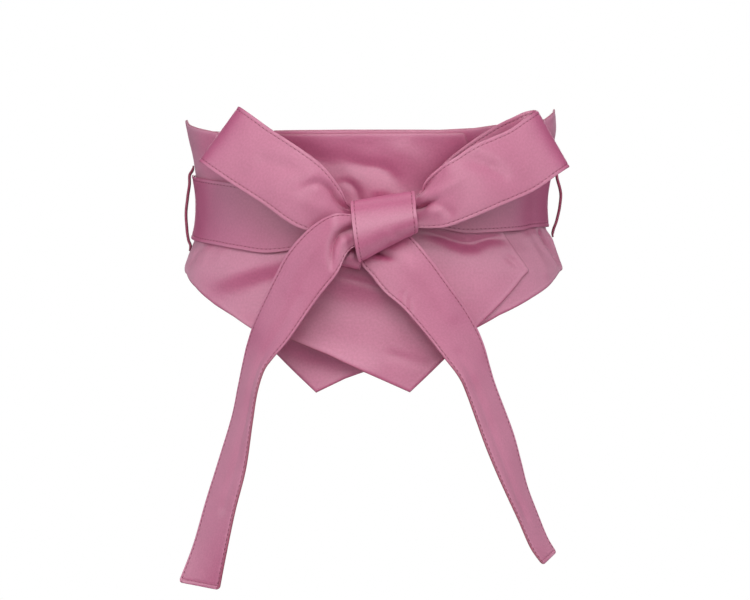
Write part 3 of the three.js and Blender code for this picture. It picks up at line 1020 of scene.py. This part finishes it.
@dataclass
class WaistSash:
    """The stretch of the sash round the waist, from one side of the knot to the other.

    off_over and on_over hold the turns between which it comes off the doubled panels and climbs onto
    them again. Its unevenness has its own scale and shift, so that it doesn't follow the panels'.
    """

    name: str = "waist_sash"
    node: str = "sash_waist"
    cut: Cut = Cut((0.043, 0.65), Held.STRETCHED, ("over_panel", "under_panel", "back_panel"))
    width: float = 42.0
    step: float = 1.9
    thinned: float = 0.1
    off_over: tuple[float, float] = (48.0, 66.0)
    on_over: tuple[float, float] = (270.0, 298.0)
    slack_share: float = 0.5
    slack_scale: float = 1.3
    slack_shift: float = 40.0

    def lift(self, turn: Numbers) -> Numbers:
        """Works out how far the sash lies off the form, on one panel or on two.

        Args:
            turn: the turns.

        Returns:
            The distance at each of them.
        """
        right = 1 - smoothstep(turn, *self.off_over)
        left = smoothstep(turn, *self.on_over)
        doubled = np.maximum(right, left)
        return PANEL_WALL + SASH_EASE + doubled * (PANEL_WALL + LAYER_GAP)

    def lay(self, form: WaistForm) -> Lay:
        """Lays the sash round the waist.

        Args:
            form: the form.

        Returns:
            The cloth.
        """
        first, last = form.route[0].turn, form.route[-1].turn
        count = round((last - first) * MM_PER_DEGREE / COLUMN_STEP)
        turn = np.linspace(first, last, count + 1)[:, None]
        across = STITCHED.across(self.width, self.step)
        v = across / (self.width / 2)
        z = form.sash_middle(turn) + form.sash_half(turn) * v
        run = turn * MM_PER_DEGREE
        from_edge = self.width / 2 - np.abs(across)
        points = form.points(turn, z, self.lift(turn) + SASH_WALL / 2)
        wall = (SASH_WALL - self.thinned) * STITCHED.share(from_edge)
        # The tone paints shade at the edges and seam lines, and a highlight on the strips between.
        lay = Lay(points, stacked(run, across), wall, STITCHED.tone(from_edge))
        lay.pucker()
        uneven = slack(run * self.slack_scale + self.slack_shift, z)
        lay.raise_by(self.slack_share * uneven * (1 - v**2))
        return lay

    def build(self, form: WaistForm, finishes: Finishes) -> list[Object]:
        """Builds and dresses the stretch.

        Args:
            form: the form that it lies round.
            finishes: the belt's materials.

        Returns:
            The cloth and its stitches.
        """
        lay = self.lay(form)
        cloth = sewn(self.name, lay, finishes.sash)
        stitches = stitched(self.name + "_stitches", lay.seams(), finishes.thread)
        return dressed(cloth, self.node, [stitches])


@dataclass(frozen=True)
class PaintedRim:
    """Painted shade along one edge of part of a stretch, with painted highlight beside it, as if the edge
    rolled back; only the tone changes, not the cloth's shape.

    side is 1 for a section's + edge and -1 for the other, and starts holds the places, in sections,
    between which the painting sets in. The two pairs of distances from the edge hold where the painted
    shade strip fades and where the painted highlight strip beside it does, and the two strengths say
    how much they change the tone.
    """

    side: int
    starts: tuple[float, float]
    shade_strip: tuple[float, float] = (1.6, 2.7)
    light: tuple[float, float] = (3.8, 5.0)
    shade_strength: float = 0.85
    highlight_strength: float = 0.4

    def tone(self, at: Numbers, from_side: Numbers) -> Numbers:
        """Gives the rim's painted shade and highlight, as a tone.

        Args:
            at: the places along the stretch, in sections.
            from_side: how far each is from the edge, in millimetres.

        Returns:
            The tone to add.
        """
        # The strip at the edge is painted shade, and the one beside it painted highlight.
        shade_strip = 1 - smoothstep(from_side, *self.shade_strip)
        light = (1 - smoothstep(from_side, *self.light)) * (1 - shade_strip)
        return smoothstep(at, *self.starts) * (self.highlight_strength * light - self.shade_strength * shade_strip)


class Way:
    """The way of a stretch through its sections.

    places are numbers of sections and parts of them, and runs how far along the stretch each is.
    """

    def __init__(self, sections: Sequence[Section], finer: int = 40) -> None:
        """Measures the way.

        Args:
            sections: the sections.
            finer: how many places are measured for each of them.
        """
        self.curves = [Curve(sections, name) for name in Section._fields]
        self.places = np.linspace(0, len(sections) - 1, finer * len(sections))
        self.runs = runs_along(stacked(*self.sections(self.places)[:3]))

    def sections(self, at: Numbers) -> Section:
        """Gives the section at each place, as one section of arrays."""
        return Section(*(curve(at) for curve in self.curves))


@dataclass
class SashStretch:
    """A stretch of the sash that leaves the form: a loop, a tail or a turn of the knot.

    corner is the radius of a hem's corners, and clear how far the last column before it stays away.
    """

    name: str
    node: str
    sections: tuple[Section, ...]
    face: Face
    cut: Cut
    creases: tuple[Crease, ...] = ()
    hemmed: bool = False
    # Painted shade and highlight along one edge, where the stretch has them.
    painted_rim: PaintedRim | None = None
    width: float = 43.0
    step: float = 1.6
    slack_share: float = 0.7
    corner: float = 2.6
    clear: float = 0.4

    def columns(self, length: float) -> Numbers:
        """Places the grid's columns: two for each stitch, and close together over a hem.

        Args:
            length: the stretch's length.

        Returns:
            How far along the stretch each is.
        """
        run = np.linspace(0, length, round(length / COLUMN_STEP) + 1)
        if not self.hemmed:
            return run
        hem = length - np.array(STITCHED.distances[::-1])
        return np.concatenate([run[run < hem[0] - self.clear], hem])

    def lay(self) -> Lay:
        """Lays the stretch through its sections.

        Returns:
            The cloth.
        """
        way = Way(self.sections)
        length = way.runs[-1]
        run = self.columns(length)[:, None]
        at = np.interp(run, way.runs, way.places)
        there = way.sections(at)
        across = STITCHED.across(self.width, self.step)
        v = across / (self.width / 2)
        lean, turned = np.radians(there.lean), np.radians(there.turned)
        true_half = there.half / np.cos(turned)
        half, from_end = there.half, self.width
        if self.hemmed:
            from_end = length - run
            inside = np.clip(1 - from_end / self.corner, 0, 1)
            half = half - self.corner * (1 - np.sqrt(1 - inside**2)) * half / true_half
        out = half * v
        points = stacked(there.x + out * np.sin(lean),
                         there.y + out * np.tan(turned) - there.bulge * (1 - v * v),
                         there.z + out * np.cos(lean))

        from_edge = np.minimum((1 - np.abs(v)) * self.width / 2, from_end)
        # The tone paints shade at the edges and seam lines and highlight beside them, and the rim's shade and
        # highlight.
        tone = STITCHED.tone(from_edge)
        if self.painted_rim:
            tone = tone + self.painted_rim.tone(at, (1 - self.painted_rim.side * v) * self.width / 2)
        lay = Lay(points, stacked(run, across), SASH_WALL * STITCHED.share(from_edge), tone)
        lay.pucker()

        def placed(place: float, side: float) -> tuple[float, float]:
            """Turns a crease's section and its share of the half width into millimetres."""
            half_there = np.interp(place, at[:, 0], true_half[:, 0])
            return float(np.interp(place, way.places, way.runs)), side * float(half_there)

        beside = v * true_half
        height = creased(self.creases, run, beside, placed)
        height += self.slack_share * slack(run + self.sections[0].x, beside) * (1 - v**2)
        lay.raise_by(self.face.value * height)
        return lay

    def build(self, finishes: Finishes) -> list[Object]:
        """Builds and dresses the stretch.

        Args:
            finishes: the belt's materials.

        Returns:
            The cloth and its stitches.
        """
        lay = self.lay()
        cloth = sewn(self.name, lay, finishes.sash)
        thread = finishes.faded_thread if self.hemmed else finishes.thread
        stitches = stitched(self.name + "_stitches", lay.seams(self.hemmed), thread)
        return dressed(cloth, self.node, [stitches])


@dataclass
class Carrier:
    """A narrow strap up a side seam, which the sash runs through.

    Its ends thin out to foot_share of the wall over the length sewn_down. Its stated cut is wider than
    the strap, as a sheet's sides have to be, with the strap's own area.
    """

    name: str
    node: str
    route: tuple[Stand, ...]
    side: Side
    cut: Cut = Cut((0.01, 0.07), Held.STRETCHED, ("over_panel", "under_panel", "back_panel"), 0.00048)
    width: float = 7.0
    wall: float = 1.8
    sewn_down: float = 3.5
    foot_share: float = 0.45
    step: float = 0.8

    def build(self, form: WaistForm, finishes: Finishes) -> list[Object]:
        """Builds and dresses the carrier.

        Args:
            form: the form that its feet stand on.
            finishes: the belt's materials.

        Returns:
            The carrier.
        """
        foot, top = self.route[0].z, self.route[-1].z
        z = np.linspace(foot, top, round((top - foot) / self.step))[:, None]
        across = PLAIN.across(self.width, self.step)
        off = Curve(self.route, "off", "z")(z)
        side = self.side.value
        points = stacked(side * (form.half(z) + off), side * across, z)
        sewn_share = smoothstep(np.minimum(z - foot, top - z), 0.0, self.sewn_down)
        ends = self.foot_share + (1 - self.foot_share) * sewn_share
        wall = self.wall * PLAIN.share(self.width / 2 - np.abs(across)) * ends
        lay = Lay(points, stacked(z, across), wall, 0.0)
        return dressed(sewn(self.name, lay, finishes.carrier), self.node)


@dataclass(frozen=True)
class SoftLight:
    """A square softbox, with its power in watts and its size and places in metres."""

    name: str
    place: Place
    power: float
    size: float = 0.9
    aims_at: Place = (0, -0.05, -0.05)
    colour: Colour = (1.0, 1.0, 1.0)

    def build(self) -> None:
        """Hangs the light."""
        lamp = bpy.data.lights.new(self.name, "AREA")
        lamp.size, lamp.energy, lamp.color = self.size, self.power, self.colour
        light = bpy.data.objects.new(self.name, lamp)
        light.location = self.place
        towards = Vector(self.aims_at) - Vector(self.place)
        light.rotation_euler = towards.to_track_quat("-Z", "Y").to_euler()
        bpy.context.collection.objects.link(light)


@dataclass
class Studio:
    """The pale floor, the soft light and the camera, with their places and sizes in metres.

    half_view is half the width that the camera sees at the belt's middle, and surround how strongly
    the white all round lights the belt.
    """

    floor_z: float = -1.5
    floor_radius: float = 2.4
    floor_colour: Colour = (0.93, 0.93, 0.93)
    floor_roughness: float = 0.8
    camera_place: Place = (0.0022, -2.0, -0.0635)
    half_view: float = 0.2535
    sensor_mm: float = 36.0
    surround: float = 0.03
    lights: tuple[SoftLight, ...] = table(
        SoftLight,
        ("key", (0.0, -2.3, 1.1), 13, 1.0),
        ("front", (0.1, -2.5, 0.3), 10, 1.2),
        ("top", (0.0, -1.6, 1.5), 13),
        ("top_right", (1.4, -1.0, 1.3), 2.5),
        ("left", (-1.8, -1.6, 0.6), 17, 1.4),
        ("right", (1.8, -1.6, 0.6), 15.5, 1.4),
        ("left_side", (-2.1, -0.4, 0.35), 7.5, 0.9, (0, -0.05, -0.05), (0.93, 0.93, 1.0)),
        ("right_side", (2.1, -0.4, 0.35), 5.5, 0.9, (0, -0.05, -0.05), (0.93, 0.93, 1.0)),
        ("low", (0.0, -2.0, -0.6), 0.3, 0.4, (0, -0.05, -0.15), (1.0, 0.9, 0.94)),
        ("left_back", (-2.1, 0.4, -0.1), 3, 0.9, (0, -0.05, -0.1), (0.75, 0.92, 1.0)),
        ("right_back", (2.1, 0.4, -0.1), 3, 0.9, (0, -0.05, -0.1), (0.75, 0.92, 1.0)),
        ("overhead", (0.0, 0.1, 2.1), 9, 0.9, (0, -0.08, 0)),
        ("behind", (0.0, 2.3, 0.9), 32, 1.4, (0, 0.05, -0.05)),
    )

    def build(self) -> None:
        """Sets up the studio."""
        for light in self.lights:
            light.build()
        self.surroundings()
        self.floor()
        self.camera()

    def surroundings(self) -> None:
        """Makes the even white all round, which lights the belt only a little."""
        scene = bpy.context.scene
        scene.world = scene.world or bpy.data.worlds.new("white")
        scene.world.use_nodes = True
        nodes, links = scene.world.node_tree.nodes, scene.world.node_tree.links
        backdrop = nodes["Background"]
        backdrop.inputs["Color"].default_value = (1, 1, 1, 1)
        path = nodes.new("ShaderNodeLightPath")
        strength = nodes.new("ShaderNodeMapRange")
        strength.inputs["To Min"].default_value = self.surround
        links.new(path.outputs["Is Camera Ray"], strength.inputs["Value"])
        links.new(strength.outputs["Result"], backdrop.inputs["Strength"])
        scene.view_settings.view_transform = "Standard"
        scene.view_settings.look = "None"

    def floor(self) -> None:
        """Lays the pale floor, well below the belt."""
        shape = bmesh.new()
        bmesh.ops.create_circle(shape, cap_ends=True, segments=96, radius=self.floor_radius)
        bmesh.ops.translate(shape, vec=(0, 0, self.floor_z), verts=shape.verts)
        finish = Mixture("pale_floor")
        finish.feed(finish.shader, {"Base Color": (*self.floor_colour, 1), "Roughness": self.floor_roughness})
        as_piece("floor", shape, finish.material)

    def camera(self) -> None:
        """Places the camera level with the middle of the belt, straight in front of it."""
        lens = bpy.data.cameras.new("camera")
        lens.sensor_width = self.sensor_mm
        lens.lens = self.sensor_mm / 2 / self.half_view * -self.camera_place[1]
        camera = bpy.data.objects.new("camera", lens)
        camera.location = self.camera_place
        camera.rotation_euler = (math.pi / 2, 0, 0)
        bpy.context.collection.objects.link(camera)
        bpy.context.scene.camera = camera


BODY_CREASES = (
    Crease(((-9, 28.5, -0.6), (-6, 25.6, -1.3), (-2, 22.8, -1.9), (2, 22, -2.1), (4.8, 19.5, -2.2),
            (6.8, 15, -1.9), (8, 10, -1.3), (8.6, 4, -0.6)), 4.6),
    Crease(((-9, 14, 0.3), (-5, 11, 0.8), (-1, 8, 1.2), (1.4, 5, 1.4), (2, 0, 1.4)), 8.5),
    Crease(((-28, 35, -1.8), (-22, 31, -2.4), (-17, 27, -2.4), (-12, 24.5, -1.6), (-8, 22, -0.6)), 7.5),
    Crease(((-9.4, 12, -0.5), (-7.6, 12.6, -1.1), (-5.8, 10.4, -1.6), (-4.4, 6, -1.9), (-3.8, 0, -2.0)),
           2.4),
    Crease(((5, 36, 0.6), (9, 33, 1.2), (12, 27, 1.0), (14, 20, 0.5)), 7),
    Crease(((30, 32, -1.4), (25, 21, -2.2), (22, 9, -2.6), (20, 2, -2.6)), 8),
    Crease(((-22, -38, 0.6), (-34, -43, 0.9), (-48, -50, 0.6)), 6),
    Crease(((-24, -47, -2.4), (-32, -51, -2.8), (-42, -57, -2.1), (-52, -62, -1.0)), 9.5),
    Crease(((-20, -62, -2.2), (-34, -68, -2.2), (-50, -74, -1.3)), 12),
    Crease(((-58.5, -25, 0.8), (-60, -40, 0.3)), 3.4, 1.6),
    Crease(((-50, -26, 0.7), (-51, -38, 0.3)), 3.0, 1.6),
    Crease(((-54.5, -25, -0.6), (-55.5, -38, -0.2)), 3.0),
    Crease(((-64, -24, -1.1), (-70, -38, -0.6)), 4.5),
    Crease(((12, -11, -2.6), (18.8, -16, -3.8), (22.8, -20, -4.4), (25.9, -23.6, -4.4), (29, -26.4, -3.8),
            (32.4, -27.5, -1.8)), 5.6),
    Crease(((33, -26, -1.4), (35.6, -24, -2.6), (39.3, -21.4, -3.4), (43.6, -20.2, -2.8),
            (47, -20, -0.8)), 4.6),
    Crease(((45, -36, -1.0), (51, -46, -0.3)), 3),
    Crease(((60, -22, 1.2), (66, -44, 0.8)), 5),
    Crease(((71.5, -18, -2.6), (76.5, -27, -3.8), (82, -35, -2.4)), 4, 1.7),
    Crease(((65, -18, 1.4), (70.5, -29, 1.6), (78, -39, 1.0)), 4, 1.7),
    Crease(((78.5, -16, 1.0), (81.5, -23, 1.5), (84, -30, 0.6)), 2.4),
    Crease(((82, -16, -1.4), (85.5, -21.5, -3.4), (87.5, -27, -2.4), (88, -33, -0.8)), 2.3),
    Crease(((-20, -84, -0.6), (-6, -86, -1.8), (8, -90, -1.8), (20, -92, -0.6)), 18),
    Crease(((6, -99, -0.5), (14, -104.5, -0.5), (18, -105, -0.2)), 3),
    Crease(((89, -25, 2.8), (91, -32, 2.4), (90, -43, 2.4)), 7),
    Crease(((82, 64, -3.0), (98, 62, -3.0)), 9),
    Crease(((112, -26, 2.0), (118, -46, 1.4)), 8),
    Crease(((138, 30, -2.0), (150, 48, -1.6)), 9),
    Crease(((168, -24, 2.2), (164, -46, 1.6)), 9),
    Crease(((214, 28, 2.0), (206, 50, 1.4)), 9),
    Crease(((236, -26, -2.0), (242, -46, -1.4)), 8),
)
UNDER_CREASES = (
    Crease(((-52, -112, -3.0), (-36, -124, -4.5), (-24, -128, -5.0), (-12, -124, -4.5), (2, -118, -3.0)), 27),
    Crease(((-42, -86, -2.0), (-29, -96, -3.3), (-16, -105, -3.2), (-5, -113, -1.8)), 11),
)
OVER_CREASES = (
    Crease(((-44, -80, 1.0), (-34, -86, 2.0), (-28, -91, 2.7), (-14, -100.5, 2.7), (-3, -109, 1.8)), 9),
    Crease(((-18, -60, -1.6), (-8, -64, -2.9), (3, -68, -2.9), (12, -73, -1.6)), 13),
    Crease(((-9, -48.5, -0.3), (-4, -51, -0.8), (2, -55, -0.8), (6, -57.5, -0.3)), 1.8),
)
LEFT_LOOP_CREASES = (
    Crease(((0.7, 0.42, -4.8), (1.8, 0.5, -4.8), (2.5, 0.6, -4.0), (3.0, 0.6, -3.0),
            (3.5, 0.55, -2.4), (3.9, 0.35, -1.8), (4.15, 0.1, -0.8)), 2.6),
    Crease(((1.0, 0.05, 1.4), (1.8, 0.1, 1.8), (2.6, 0.0, 1.8), (3.4, -0.15, 1.2), (4.2, -0.3, 0.7)), 5),
    Crease(((3.2, 0.75, 0.9), (4.0, 0.55, 0.9), (4.6, 0.1, 1.0), (4.8, -0.4, 0.7)), 5.5),
    Crease(((5.6, 0.1, -1.0), (5.1, 0.3, -1.5), (4.5, 0.32, -1.2)), 5.5),
    Crease(((1.0, -0.55, -1.6), (2.0, -0.6, -1.2), (2.8, -0.7, -0.6)), 2.6),
)
RIGHT_LOOP_CREASES = (
    Crease(((0.9, 0.92, -2.4), (1.3, 0.88, -3.2), (1.85, 0.76, -3.6), (2.4, 0.78, -2.8),
            (3.1, 0.84, -1.2)), 2.2),
    Crease(((0.9, 0.7, 1.0), (1.26, 0.64, 1.8), (2.2, 0.3, 2.1), (3.15, 0.24, 1.7),
            (3.95, 0.25, 0.9)), 3.2),
    Crease(((0.6, 0.2, -4.6), (1.3, 0.12, -5.6), (1.7, 0.04, -4.8), (2.1, 0.02, -2.6),
            (2.6, 0.0, -0.5)), 1.6),
    Crease(((0.9, -0.24, 0.8), (1.26, -0.28, 1.4), (2.0, -0.32, 1.5), (2.7, -0.4, 1.0)), 3.0),
    Crease(((2.0, 0.06, -0.3), (2.72, -0.2, -1.0), (3.27, -0.6, -1.0)), 2.0),
    Crease(((4.3, 0.8, -1.0), (4.8, 0.55, -2.6), (5.2, 0.2, -3.0), (5.4, -0.15, -1.6)), 5.5),
)
LEFT_TAIL_CREASES = (
    Crease(((0.8, 0.12, -3.4), (1.5, 0.06, -5.2), (2.1, -0.02, -5.6), (2.5, -0.16, -4.6),
            (2.8, -0.36, -3.2), (3.1, -0.62, -1.4)), 2.6),
    Crease(((0.8, -0.35, 0.8), (1.7, -0.38, 0.9), (2.4, -0.55, 0.4)), 2.6),
    Crease(((1.0, 0.5, 1.2), (2.2, 0.45, 1.6), (3.4, 0.3, 1.4), (5.0, 0.2, 0.8)), 5),
    Crease(((5.0, -0.3, -0.8), (7.5, -0.35, -1.6), (9.5, -0.3, -1.4), (12.0, -0.2, -0.8)), 4),
)
RIGHT_TAIL_CREASES = (
    Crease(((0.4, 0.42, -4.4), (0.9, 0.36, -5.0), (1.4, 0.16, -3.0), (1.8, 0.0, -0.8)), 2.4),
    Crease(((1.5, -0.3, 1.0), (3.0, -0.35, 1.6), (5.0, -0.3, 1.2)), 6),
    Crease(((3.85, 0.86, -1.0), (3.5, 0.6, -0.9), (3.35, 0.4, -0.2)), 1.3),
    Crease(((4.25, 0.86, -1.1), (3.9, 0.62, -0.9), (3.75, 0.45, -0.2)), 1.3),
    Crease(((7.0, 0.3, -0.8), (9.0, 0.3, -1.4), (13.0, 0.2, -1.0)), 4),
)
KNOT_CREASES = (
    Crease(((5.6, 0.1, 0.6), (6.4, 0.16, 1.9)), 1.2),
    Crease(((5.6, 0.3, -0.2), (6.3, 0.34, -1.2)), 1.3),
)

PANELS = (
    BodyPanel("back_panel", "back", BACK_EDGES, Layer.FORM,
              Cut((0.33, 0.11), Held.STRETCHED, area=0.033033), BODY_CREASES),
    BodyPanel("under_panel", "front_under", UNDER_EDGES, Layer.FORM,
              Cut((0.27, 0.187), Held.STRETCHED, area=0.0343332), BODY_CREASES + UNDER_CREASES),
    BodyPanel("over_panel", "front_over", OVER_EDGES, Layer.UNDER_PANEL,
              Cut((0.27, 0.183), Held.STRETCHED, ("under_panel",), 0.0335988), BODY_CREASES + OVER_CREASES),
)
CARRIERS = (
    Carrier("left_carrier", "carrier_left", LEFT_CARRIER, Side.LEFT),
    Carrier("right_carrier", "carrier_right", RIGHT_CARRIER, Side.RIGHT),
)
LOOP_CUT = Cut((0.043, 0.22), Held.FOLDED, ("knot_wrap",))
STRETCHES = (
    SashStretch("left_loop", "bow_loop_left", LEFT_LOOP, Face.IN, LOOP_CUT, LEFT_LOOP_CREASES),
    SashStretch("right_loop", "bow_loop_right", RIGHT_LOOP, Face.OUT, LOOP_CUT, RIGHT_LOOP_CREASES),
    SashStretch("left_tail", "tail_left", LEFT_TAIL, Face.IN,
                Cut((0.036, 0.26), Held.HUNG, ("knot_wrap",)), LEFT_TAIL_CREASES,
                hemmed=True, painted_rim=PaintedRim(-1, (6.4, 7.8))),
    SashStretch("right_tail", "tail_right", RIGHT_TAIL, Face.IN,
                Cut((0.036, 0.25), Held.HUNG, ("knot_wrap",)), RIGHT_TAIL_CREASES,
                hemmed=True, painted_rim=PaintedRim(1, (6.4, 8.0))),
    SashStretch("knot_wrap", "knot", KNOT, Face.OUT,
                Cut((0.043, 0.07), Held.FOLDED, ("waist_sash",)), KNOT_CREASES),
    SashStretch("knot_turn", "knot_under", KNOT_UNDER, Face.OUT,
                Cut((0.016, 0.036), Held.FOLDED, ("over_panel",))),
)


def main() -> None:
    """Builds the belt and the studio round it."""
    logging.basicConfig(level=logging.INFO, format="%(message)s")
    log = logging.getLogger("belt")
    finishes = made_finishes()
    form = WaistForm()
    Studio().build()
    pieces = []
    for part in (*PANELS, *CARRIERS, WaistSash()):
        pieces += part.build(form, finishes)
    for stretch in STRETCHES:
        pieces += stretch.build(finishes)
    for piece in pieces:
        log.info("%s: %d faces", piece.name, len(piece.data.polygons))


if __name__ == "__main__":
    main()
